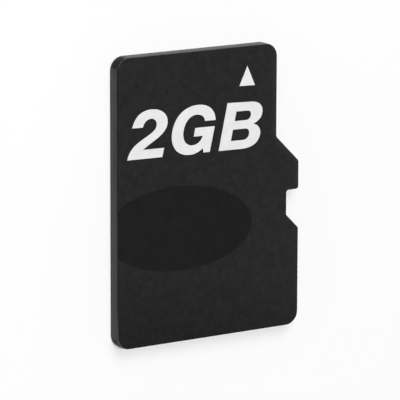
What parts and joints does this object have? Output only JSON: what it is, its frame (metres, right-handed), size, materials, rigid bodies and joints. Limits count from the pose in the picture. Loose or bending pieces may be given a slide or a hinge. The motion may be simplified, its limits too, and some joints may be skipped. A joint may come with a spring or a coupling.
{
  "type": "miniature memory card",
  "caption": "Thin flat flash memory card with a narrowed contact end, a sloping shoulder, a ramped lock notch, recessed gold contacts and wired dies cast inside the moulding.",
  "frame": {"origin": "middle of the card's footprint, on the surface that it lies on", "axes": "+Y towards the contact end that enters a socket first, +X towards the side with the lock notch, +Z out of the label face"},
  "size_m": [0.011, 0.015, 0.0007],
  "materials": {
    "mould_compound": "matte black epoxy mould compound with a fine grain",
    "laminate": "black solder mask over a glass laminate",
    "contact_gold": "hard gold plate",
    "silicon": "polished silicon",
    "die_film": "adhesive film",
    "ceramic": "fired ceramic",
    "solder": "tin solder",
    "wire_gold": "drawn gold wire"
  },
  "bodies": {
    "root": {"moulded_body": "mould_compound", "substrate": "laminate", "contact_1_data_2": "contact_gold", "contact_2_data_3": "contact_gold", "contact_3_command": "contact_gold", "contact_4_supply": "contact_gold", "contact_5_clock": "contact_gold", "contact_6_ground": "contact_gold", "contact_7_data_0": "contact_gold", "contact_8_data_1": "contact_gold", "flash_die_film": "die_film", "flash_die": "silicon", "controller_die_film": "die_film", "controller_die": "silicon", "capacitor_1": "ceramic", "capacitor_2": "ceramic", "capacitor_3": "ceramic", "capacitor_solder": "solder", "flash_bond_wires": "wire_gold", "controller_bond_wires": "wire_gold"}
  },
  "joints": []
}
